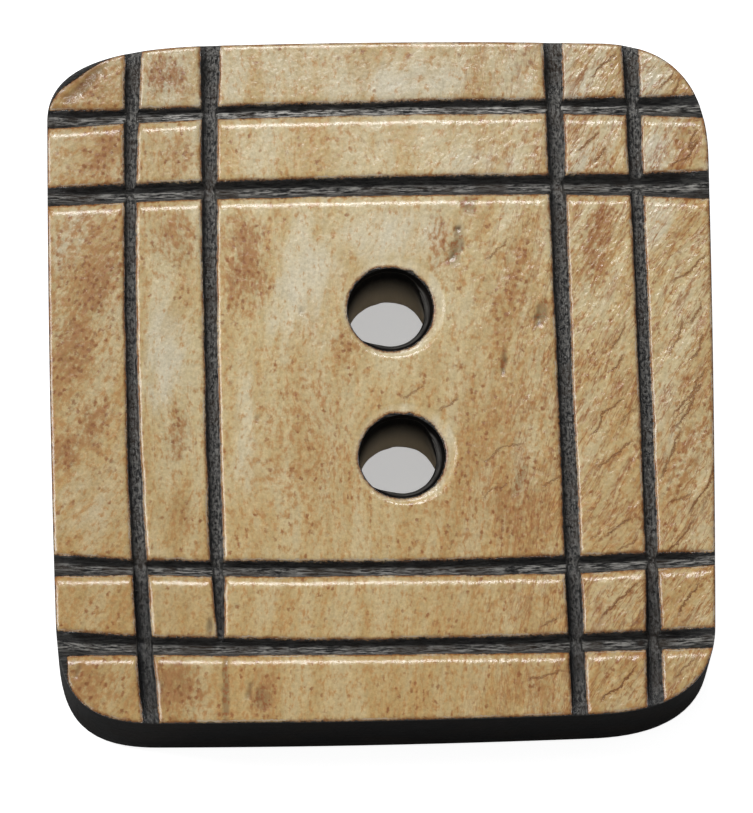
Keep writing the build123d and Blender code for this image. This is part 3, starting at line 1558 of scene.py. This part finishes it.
@dataclass(frozen=True)
class DyedBone:
    """Bone that was dyed black all over and then sanded bare on its face and polished."""

    name: str = "dyed_bone"
    pale: Colour = plain(214, 204, 178)
    cream: Colour = plain(207, 187, 140)
    tan: Colour = plain(191, 160, 105)
    orange: Colour = plain(182, 137, 82)
    burnt: Colour = plain(160, 108, 66)
    brown: Colour = plain(142, 84, 42)
    crack: Colour = plain(134, 82, 44)
    stain: Colour = plain(142, 118, 80)
    rot: Colour = plain(62, 38, 24)
    fringe: Colour = plain(142, 92, 48)
    worn: Colour = plain(196, 190, 176)
    dye_and_shade: Colour = plain(20, 20, 21)
    dye_brown: Colour = plain(50, 38, 28)
    dye_worn: Colour = plain(104, 102, 98)
    fibre_and_glint: Colour = plain(226, 223, 216)

    def build(self) -> bpy.types.Material:
        """Makes the material.

        Returns:
            The material.
        """
        sheet = NodeSheet(self.name)
        point = sheet.millimetres()
        off = sheet.painted("off")
        fine = sheet.noise(point, 8.0, 4.0, 0.75)
        patchy = sheet.noise(point, 1.1, 2.0)
        bone, relief = self.bone(sheet, point, fine)
        dyed, marks = self.dyed(sheet, point)
        ragged = off + (fine - 0.5) * 0.22
        cover = ragged.rise(0.025, -0.025)
        fringed = ragged.rise(0.13, 0.0) * (patchy * 3.0 - 0.7).clamp()
        worn = (ragged - 0.05).size().rise(0.035, 0.005) * patchy.rise(0.55, 0.38) * 0.6
        in_dye = off.rise(0.01, -0.02)
        colour = sheet.coats(bone, (self.fringe, fringed), (self.worn, worn), (dyed, cover))
        roughness = 0.15 + fine * 0.14 + in_dye * 0.08
        return sheet.skin(colour, roughness, relief * (1.0 - in_dye) + marks * in_dye, 0.05)

    def bone(self, sheet: NodeSheet, point: Reading, fine: Reading) -> tuple[Reading, Reading]:
        """The bare bone: cream with tan streaks, brown specks, veins, cracks and pits, with a painted
        sheen that makes it paler towards the top and painted shade towards the left and the top edge.

        Args:
            sheet: the material's nodes.
            point: the point, in millimetres.
            fine: the finest noise.

        Returns:
            Its colour and the height of its fine relief.
        """
        x = sheet.along(point, (1.0, 0.0, 0.0))
        y = sheet.along(point, (0.0, 1.0, 0.0))
        right = x.rise(1.0, 8.0)
        low = y.rise(3.0, -12.0)
        left = x.rise(-8.4, -9.6)
        across, along = sheet.painted("grain_across"), sheet.painted("grain_along")

        def streaks(per_across: float, per_along: float, layer: float, detail: float) -> Reading:
            """Noise that is drawn out along the grain."""
            return sheet.drawn(across * per_across, along * per_along, layer, detail, 0.65)

        broad = streaks(0.8, 0.2, 0.0, 3.0)
        narrow = streaks(3.2, 0.8, 5.0, 4.0)
        mottle = streaks(5.5, 3.0, 9.0, 3.0)
        speckle, in_pale = sheet.painted("speckle"), sheet.painted("pale")
        grey, dark = sheet.painted("grey"), sheet.painted("dark")
        # Painted sheen: the face is paler towards the top. The tan and the specks' density grow
        # towards the bottom and at the left.
        pale = in_pale * 0.8 + y.rise(4.0, 12.0) * 0.3 + (0.5 - broad) * 1.6
        tan = broad.rise(0.42, 0.62) * 0.55 + sheet.painted("tan") * 0.4 + low * 0.42 + left * 0.25
        density = speckle - in_pale * 0.4 + (broad - 0.5) * 1.5 + (narrow - 0.5) * 2.0
        density = density + right * 0.1 + low * 0.12 + left * 0.2
        orange = (mottle + density * 0.17).rise(0.46, 0.7)
        burnt = (mottle + narrow * 0.5 + speckle * 0.32 + fine * 0.7).rise(1.22, 1.55)
        seam = streaks(2.6, 0.6, 33.0, 4.0).rise(0.53, 0.66) * right
        dots, random = sheet.dots(across * 4.6, along * 3.4)
        chance = (density * 0.42 + 0.3 - random).rise(0.0, 0.3)
        specks = (dots + (fine - 0.5) * 1.3).rise(0.46, 0.1) * chance
        vein = (streaks(1.5, 0.22, 21.0, 4.0) - 0.5).size().rise(0.022, 0.002)
        vein = vein + (streaks(2.1, 0.3, 27.0, 4.0) - 0.5).size().rise(0.018, 0.002)
        vein = vein.clamp() * (right * 0.9 + 0.08) * narrow.rise(0.34, 0.54)
        crack_off = (sheet.painted("crack_off") + (fine - 0.5) * 0.3).size()
        near = sheet.painted("crack_near")
        line = crack_off.rise(0.05, 0.01) * near
        colour = sheet.coats(
            self.cream,
            (self.pale, pale.clamp()),
            (self.tan, (tan - in_pale * 0.3).clamp()),
            (self.orange, orange * 0.85),
            (self.burnt, burnt * 0.65),
            (self.burnt, seam * 0.5),
            (self.brown, specks * 0.75),
            (self.brown, vein * 0.7),
            (self.orange, crack_off.rise(0.13, 0.03) * near * 0.5),
            (self.crack, line * 0.85),
            (self.stain, (grey * (narrow * 2.0 - 0.1)).clamp()),
            (self.rot, (dark * (fine * 1.6)).clamp()),
            (self.brown, grey.rise(0.1, 0.3) * (fine + mottle).rise(1.0, 1.15) * 0.8),
        )
        # Painted shade: the face is darker towards the left side and the top edge.
        edge = x.rise(-5.6, -7.5) * 0.08 + y.rise(9.0, 11.0) * 0.06
        colour = sheet.shade(colour, 0.36 + fine * 0.85 + narrow * 0.45 - speckle * 0.08 - edge)
        height = streaks(2.6, 1.5, 13.0, 2.0) * (right * 0.35 + 0.5) + fine * 0.14 - line * 0.5
        return colour, height

    def dyed(self, sheet: NodeSheet, point: Reading) -> tuple[Reading, Reading]:
        """The dyed bone: charcoal with paler saw marks along each cut.

        The marks of the level cuts are longer, and pale streaks along their middles are a painted
        highlight. An upright cut has painted shade at its left, and a level one at its top and, more
        lightly, at its bottom. The upright cuts are blacker below the third level cut, most at the
        left.

        Args:
            sheet: the material's nodes.
            point: the point, in millimetres.

        Returns:
            Its colour and the height of its fine relief.
        """
        across, along = sheet.painted("across"), sheet.painted("along")
        level = along.rise(MARKS_APART * 4.0, MARKS_APART * 3.75)
        fibres = sheet.drawn(across * 16.0, along * 1.5, 7.0, 4.0, 0.75)
        grit = sheet.drawn(across * 10.0, along * 6.0, 3.0, 2.0, 0.7)
        cloud = sheet.noise(point, 0.9, 2.0)
        marks = fibres * (level * 0.5 + 0.4) + grit * (0.6 - level * 0.5)
        # Painted highlight: pale streaks along the middle of each level cut, brightest in the top one;
        # every cut has faint pale fibres too.
        middle = across.rise(0.15, 0.04) * across.rise(-0.28, -0.14)
        first = along.size().rise(11.5, 5.0) * 0.9 + 0.1
        fibre_and_glint_share = marks.rise(0.45, 0.6) * (level * middle * (first * 0.4 + 0.6) + 0.16)
        fibre_and_glint_share = fibre_and_glint_share * (cloud.rise(0.68, 0.42) * 0.6 + first * 0.4)
        # The upright cuts are blacker below the third level cut, most at the left.
        corner = sheet.along(point, (1.0, 0.0, 0.0)).rise(-7.2, -8.0) * 0.3 + 0.7
        corner = corner * sheet.along(point, (0.0, 1.0, 0.0)).rise(-6.6, -8.4)
        # Painted shade: black at the left of each upright cut, and at the top and, more lightly, the
        # bottom of each level cut.
        side = (across.rise(-0.04, -0.2) + corner * 0.8) * (1.0 - level)
        side = side + (across.rise(0.02, 0.16) + across.rise(-0.14, -0.3) * 0.7) * level
        colour = sheet.coats(
            self.dye_and_shade,
            (self.dye_brown, cloud.rise(0.46, 0.62)),
            (self.dye_worn, marks.rise(0.42, 0.58)),
            (self.fibre_and_glint, fibre_and_glint_share),
            (self.dye_and_shade, side * 0.75),
        )
        return colour, marks * 3.0


@dataclass(frozen=True)
class DyedSide:
    """The black dyed sides, hole walls and back, filed and left dull, with painted light from the
    floor on the hole walls.
    """

    name: str = "dyed_side"
    black: Colour = plain(11, 10, 10)
    brown: Colour = plain(22, 19, 17)
    scuff: Colour = plain(60, 58, 56)
    painted_floor_light: Colour = plain(232, 220, 200)
    ledge: Colour = plain(84, 82, 79)

    def build(self) -> bpy.types.Material:
        """Makes the material.

        Returns:
            The material.
        """
        sheet = NodeSheet(self.name)
        point = sheet.millimetres()
        across, along = sheet.painted("across"), sheet.painted("along")
        file_marks = sheet.drawn(across * 2.4, along * 9.0, 1.0, 3.0, 0.6)
        rings = sheet.drawn(across * 9.0, along * 0.7, 5.0, 2.0, 0.6)
        cloud = sheet.noise(point, 0.8, 3.0)
        wall = sheet.painted("wall")
        z = sheet.along(point, (0.0, 0.0, 1.0))
        on_ledge = wall.rise(0.3, 0.5) * wall.rise(1.5, 1.0)
        # Painted reflected light: the hole walls grow paler towards the back, standing in for the
        # light from the floor.
        colour = sheet.coats(
            self.black,
            (self.brown, cloud.rise(0.4, 0.65)),
            (self.scuff, file_marks.rise(0.62, 0.85) * 0.25),
            (self.painted_floor_light, z.rise(3.4, 0.3) * wall.rise(2.3, 2.7)),
            (self.ledge, on_ledge * rings.rise(0.35, 0.6)),
        )
        height = file_marks * 0.6 + rings * 0.3
        return sheet.skin(colour, 0.5 + cloud * 0.2, height, 0.03, **{"Specular IOR Level": 0.03})


# The studio


@dataclass
class Studio:
    """The floor, the lamps and the camera."""

    scale_px: float = 26.81
    distance: float = 270.0
    tilt_down: float = 15.5
    tilt_left: float = 1.2
    aim_x_px: float = 379.1
    aim_y_px: float = 377.4
    image_width: int = 753
    image_height: int = 813
    sensor: float = 36.0
    floor_glow: float = 0.85
    floor_glow_under: float = 0.44
    floor_gap: float = 0.02
    half_shaded: float = 8.0
    half_floor: float = 600.0
    world_strength: float = 0.28

    def camera(self) -> bpy.types.Object:
        """Places the camera so that the middle of the face falls on its pixel.

        Returns:
            The camera.
        """
        focal_px = self.scale_px * self.distance
        back = np.array(
            (-math.tan(math.radians(self.tilt_left)), -math.tan(math.radians(self.tilt_down)), 1.0)
        )
        back = unit(back)
        right = unit(np.cross((0.0, 1.0, 0.0), back))
        up = np.cross(back, right)
        over = (self.aim_x_px - self.image_width / 2) / focal_px
        above = -(self.aim_y_px - self.image_height / 2) / focal_px
        place = np.array((0.0, 0.0, THICKNESS)) - self.distance * (over * right + above * up - back)
        data = bpy.data.cameras.new("camera")
        data.sensor_width = self.sensor
        data.lens = self.sensor * focal_px / max(self.image_width, self.image_height)
        data.clip_start = 0.01
        data.clip_end = 20.0
        item = place_object("camera", data)
        turn = Matrix(np.column_stack((right, up, back)).tolist())
        item.matrix_world = Matrix.Translation(Vector(place * MILLIMETRE)) @ turn.to_4x4()
        bpy.context.scene.camera = item
        return item

    @staticmethod
    def floor_white(name: str, glow_strength: float) -> bpy.types.Material:
        """Makes a white that keeps shadows and is lifted towards pure white for the camera.

        Args:
            name: its name.
            glow_strength: how much it is lifted.

        Returns:
            The material.
        """
        sheet = NodeSheet(name)
        seen = sheet.add("ShaderNodeLightPath", output="Is Camera Ray")
        white = sheet.add("ShaderNodeBsdfDiffuse", None, {"Color": (0.8, 0.8, 0.8, 1.0)})
        glow = sheet.add("ShaderNodeEmission", None, {"Strength": seen * glow_strength})
        lit = sheet.add("ShaderNodeAddShader", None, {0: white, 1: glow})
        # From below the floor is clear, so that the button's back can be seen
        clear = sheet.add("ShaderNodeBsdfTransparent")
        behind = sheet.add("ShaderNodeNewGeometry", output="Backfacing")
        shader = sheet.add("ShaderNodeMixShader", None, {"Fac": behind, 1: lit, 2: clear})
        return sheet.end(shader)

    def floor(self) -> bpy.types.Object:
        """Makes the white floor; the part under the button, seen through the holes, is duller.

        Returns:
            The floor.
        """
        mesh = bpy.data.meshes.new("floor")
        points = [
            (x * half * MILLIMETRE, y * half * MILLIMETRE, -self.floor_gap * MILLIMETRE)
            for half in (self.half_shaded, self.half_floor)
            for x, y in ((-1, -1), (1, -1), (1, 1), (-1, 1))
        ]
        around = [(k, k + 4, (k + 1) % 4 + 4, (k + 1) % 4) for k in range(4)]
        mesh.from_pydata(points, [], [(0, 1, 2, 3), *around])
        mesh.materials.append(self.floor_white("floor_white", self.floor_glow))
        mesh.materials.append(self.floor_white("floor_shaded", self.floor_glow_under))
        mesh.polygons[0].material_index = 1
        floor = place_object("floor", mesh)
        return floor

    def lamp(self, name: str, place: tuple[float, float, float], size: float, watts: float) -> None:
        """Makes one square lamp that shines at the button.

        Args:
            name: its name.
            place: where it is.
            size: the length of its sides.
            watts: its power.
        """
        data = bpy.data.lights.new(name, "AREA")
        data.shape = "SQUARE"
        data.size = size * MILLIMETRE
        data.energy = watts
        item = place_object(name, data)
        spot = Vector(place) * MILLIMETRE
        item.location = spot
        item.rotation_mode = "QUATERNION"
        item.rotation_quaternion = (-spot).to_track_quat("-Z", "Y")

    def build(self) -> None:
        """Builds the whole studio."""
        self.camera()
        self.floor()
        self.lamp("north_lamp", place=(-5.0, 176.0, 260.0), size=42.0, watts=0.33)
        self.lamp("side_lamp", place=(-225.0, 70.0, 235.0), size=120.0, watts=0.5)
        world = bpy.data.worlds.new("world")
        world.use_nodes = True
        sky = world.node_tree.nodes["Background"]
        sky.inputs["Color"].default_value = (1, 1, 1, 1)
        sky.inputs["Strength"].default_value = self.world_strength
        bpy.context.scene.world = world
        bpy.context.scene.view_settings.view_transform = "Standard"


# This button's own sizes

# Each corner: right and upper, its reach and its inset along x and y, and its fullness
OUTLINE = Outline(
    upper_left=Corner(-1, 1, 6.1, 3.3, 0.0, 0.24, 0.64),
    upper_right=Corner(1, 1, 4.2, 4.5, 0.08, 0.03, 0.65),
    lower_right=Corner(1, -1, 4.4, 3.8, 0.05, 0.43, 0.60),
    lower_left=Corner(-1, -1, 4.3, 3.9, 0.55, 0.0, 0.68),
)
# Each cut: its side, its middle line's three places, its widths and its seed
UPRIGHT_CUTS = [
    SawCut(Side.LEFT, -9.27, -9.22, -8.41, (0.62, 0.46, 0.45, 0.58, 0.63), 11),
    SawCut(
        Side.LEFT, -6.38, -6.25, -5.66,
        (0.8, 0.62, 0.58, 0.53, 0.49, 0.53, 0.54, 0.28, -2.9), 12,
    ),
    SawCut(Side.RIGHT, 6.54, 6.95, 7.41, (0.72, 0.63, 0.58, 0.6, 0.6), 13),
    SawCut(Side.RIGHT, 9.48, 9.93, 10.23, (0.65, 0.5, 0.48, 0.48, 0.66), 14),
]
LEVEL_CUTS = [
    SawCut(
        Side.TOP, 10.03, 10.57, 10.74,
        (0.68, 0.55, 0.52, 0.5, 0.5, 0.54, 0.54, 0.68, 0.9), 21,
    ),
    SawCut(
        Side.TOP, 7.01, 7.5, 7.64,
        (0.71, 0.7, 0.7, 0.7, 0.72, 0.72, 0.75, 0.86, 1.12), 22,
    ),
    SawCut(
        Side.BOTTOM, -7.25, -7.32, -6.85,
        (0.81, 0.6, 0.58, 0.56, 0.56, 0.6, 0.66, 0.64, 0.46), 23,
    ),
    SawCut(
        Side.BOTTOM, -10.22, -10.3, -9.86,
        (0.97, 0.72, 0.68, 0.58, 0.58, 0.63, 0.68, 0.72, 0.74), 24,
    ),
]
# Each hole: x, y and its seed
HOLES = [ThreadHole(0.421351, 2.6716, 65), ThreadHole(0.858649, -3.0116, 69)]

# Each patch: x, y, half its width, half its length, the degrees it leans and its strength
PATCH_ROWS = {
    Mark.SPECKLE: (
        (-5.0, 4.3, 1.0, 2.3, 0.0, 0.95), (-7.7, 5.4, 1.1, 1.3, 0.0, 0.65),
        (-10.5, 3.6, 1.0, 2.4, 24.0, 0.9), (-11.4, 0.9, 1.1, 2.2, 22.0, 0.85),
        (-10.7, -1.9, 0.7, 1.5, 32.0, 0.95), (-11.6, -2.8, 0.8, 1.1, 20.0, 0.85),
        (-8.0, 11.7, 1.0, 1.0, 0.0, 0.9), (-10.3, 8.8, 0.6, 1.5, 25.0, 0.85),
        (-10.9, 11.4, 0.9, 0.9, 40.0, 0.6), (-7.5, 8.5, 0.8, 1.0, 10.0, 0.5),
        (-7.5, -2.2, 0.5, 1.6, 5.0, 0.7), (-7.2, -5.4, 0.9, 1.2, 0.0, 0.4),
        (-11.0, -12.0, 0.9, 0.9, -25.0, 0.75), (-7.4, -12.0, 1.7, 1.2, 20.0, 0.95),
        (-11.0, -11.8, 1.6, 1.2, 0.0, 0.55), (-11.0, 4.0, 2.2, 7.0, 12.0, 0.5),
        (-11.0, 11.2, 2.0, 1.8, 0.0, 0.4), (-4.2, -12.1, 0.6, 1.1, 10.0, 0.8),
        (2.2, 5.4, 0.5, 1.7, 0.0, 0.7), (4.9, 3.4, 0.9, 2.6, 12.0, 0.55),
        (8.2, 5.2, 0.6, 2.0, 8.0, 0.9), (11.4, 8.9, 0.7, 1.6, 30.0, 0.6),
        (-1.2, 1.2, 0.8, 1.2, 0.0, 0.5), (-2.6, -2.5, 2.2, 4.2, 0.0, 0.38),
        (4.4, -2.5, 2.4, 6.0, 20.0, 0.3), (8.2, 8.6, 0.6, 1.1, 35.0, 0.5),
        (5.9, -12.0, 1.2, 0.9, 30.0, 0.5), (11.5, -3.0, 0.8, 4.0, 25.0, 0.5),
        (5.2, -5.0, 1.6, 2.0, 15.0, 0.65),
    ),
    Mark.TAN: (
        (-11.0, 11.0, 2.2, 2.2, 0.0, 0.9), (-1.9, -1.8, 1.3, 4.4, 0.0, 0.6),
        (4.4, -0.5, 2.0, 6.5, 14.0, 0.7), (-7.6, -5.2, 1.0, 1.6, 0.0, 0.5),
        (3.2, -12.0, 4.5, 1.1, 0.0, 0.5), (-7.3, -12.0, 1.6, 1.2, 0.0, 1.0),
        (-7.4, -8.9, 1.3, 1.3, 0.0, 1.0), (5.0, -5.2, 2.0, 2.2, 10.0, 1.0),
        (8.6, -3.5, 1.2, 5.0, 20.0, 0.5),
    ),
    Mark.PALE: (
        (-2.7, 3.4, 1.6, 3.4, 8.0, 0.85), (0.6, 5.5, 2.4, 1.4, 0.0, 0.8),
        (-8.0, 1.0, 0.9, 2.8, 0.0, 0.95), (-11.0, -5.2, 1.3, 2.2, 10.0, 0.45),
        (-11.5, 5.3, 0.7, 1.7, 10.0, 0.6), (7.3, 11.3, 0.7, 1.2, 0.0, 0.7),
        (10.4, 5.9, 0.6, 1.3, 10.0, 0.8), (3.8, 8.2, 1.6, 1.0, 0.0, 0.6),
        (0.8, 11.6, 2.8, 1.0, 0.0, 0.6), (7.5, 8.9, 0.7, 1.2, 0.0, 0.75),
        (10.4, 8.8, 0.6, 1.1, 0.0, 0.7), (10.3, 11.4, 0.7, 0.8, 0.0, 0.6),
        (-4.9, -2.8, 0.6, 3.4, 0.0, 0.55), (10.8, -1.4, 0.5, 2.2, 12.0, 0.6),
    ),
    Mark.DARK: (
        (-11.15, 11.35, 0.24, 1.3, 46.0, 0.5), (2.98, 5.86, 0.12, 0.12, 0.0, 0.9),
        (2.72, 4.75, 0.1, 0.2, 20.0, 0.7), (3.1, 5.2, 0.12, 0.22, -10.0, 0.6),
        (5.9, 2.42, 0.1, 0.14, 0.0, 0.9), (6.02, 2.12, 0.09, 0.09, 0.0, 0.9),
        (4.66, 0.55, 0.06, 0.36, 6.0, 0.7), (-6.25, -9.6, 0.12, 0.4, 0.0, 0.7),
        (-11.1, -11.3, 0.1, 0.3, 15.0, 0.5), (-4.75, -11.9, 0.1, 0.4, 10.0, 0.6),
        (-2.9, 2.6, 0.09, 0.09, 0.0, 0.5), (-4.55, -1.6, 0.1, 0.1, 0.0, 0.5),
    ),
    Mark.GREY: (
        (2.85, 5.0, 0.24, 0.6, 8.0, 0.95), (2.98, 5.7, 0.2, 0.24, 0.0, 0.9),
        (3.4, 6.75, 0.3, 0.35, 0.0, 0.75), (6.05, 2.55, 0.24, 0.5, 12.0, 0.95),
        (4.66, 0.65, 0.1, 0.5, 6.0, 0.9), (5.2, -4.0, 0.2, 0.7, 20.0, 0.5),
        (-8.3, -12.0, 0.3, 0.6, 30.0, 0.6), (-5.65, -12.1, 0.14, 1.7, 0.0, 0.75),
        (-4.3, -12.3, 0.35, 0.5, 10.0, 0.5),
    ),
}
PATCHES = [Patch(mark, *row) for mark, rows in PATCH_ROWS.items() for row in rows]
# Each crack: x, y, its length, the degrees it leans and, where it is not 0.8, its strength
CRACKS = [
    Crack(*row)
    for row in (
        (8.45, -1.45, 2.2, 40.0), (9.3, -1.5, 1.0, 42.0, 0.6), (8.8, -2.9, 1.9, 55.0),
        (11.5, -1.0, 2.4, 32.0), (10.9, -2.9, 2.4, 22.0), (12.1, -4.2, 2.6, 30.0, 1.0),
        (11.1, -6.1, 2.2, 36.0, 0.9), (11.2, -4.6, 1.1, 62.0, 0.6), (8.9, -5.7, 1.4, 42.0),
        (9.2, -6.3, 1.0, 52.0, 0.7), (8.0, -5.9, 0.7, 45.0, 0.5), (6.4, -3.9, 0.9, 60.0, 0.6),
        (12.2, -4.7, 1.3, 22.0, 0.5), (8.9, -8.5, 2.2, 52.0, 1.0), (9.5, -9.2, 1.0, 38.0, 0.7),
        (11.5, -8.5, 1.6, 38.0, 0.9), (8.9, -11.7, 2.1, 46.0, 1.0), (6.2, -11.4, 1.6, 66.0, 0.7),
        (6.3, -9.4, 0.9, 55.0, 0.7), (11.3, -11.1, 1.2, 46.0, 0.7), (8.5, 12.3, 1.6, 46.0, 0.9),
        (7.9, 9.3, 1.3, 50.0, 0.9), (8.25, 8.8, 0.9, 35.0, 0.8), (10.9, 11.7, 0.9, 45.0, 0.8),
        (11.3, 11.5, 0.9, 22.0, 0.7), (11.6, 8.8, 1.6, 48.0, 0.9), (11.8, 9.4, 1.0, 28.0, 0.8),
        (11.62, 4.34, 1.95, 47.0), (11.19, 1.6, 1.6, 20.0), (11.8, 2.63, 1.1, 29.0),
        (11.95, 1.2, 1.3, 25.0), (11.69, -0.54, 2.7, 35.0), (8.93, 1.61, 1.2, 38.0),
        (8.86, 0.53, 1.0, 47.0), (4.44, 5.0, 1.4, 48.0, 0.6), (4.59, -2.75, 1.9, 63.0, 0.6),
        (4.36, -4.36, 1.3, 70.0, 0.5), (1.25, -0.55, 1.1, 56.0, 0.6), (2.6, -1.0, 1.1, 60.0, 0.6),
    )
]


def main() -> None:
    """Builds the button and its studio and reports each piece."""
    logging.basicConfig(level=logging.INFO, format="%(message)s")
    carving = Carving(OUTLINE, UPRIGHT_CUTS, LEVEL_CUTS, HOLES, PATCHES, CRACKS)
    body = ButtonBody(FaceGrid(carving))
    piece = body.build()
    piece.data.materials.append(DyedBone().build())
    piece.data.materials.append(DyedSide().build())
    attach(piece, "root")
    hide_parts("button")
    log.info("%s: %d faces", piece.name, len(piece.data.polygons))
    Studio().build()
    log.info("boxes written")


if __name__ == "__main__":
    main()
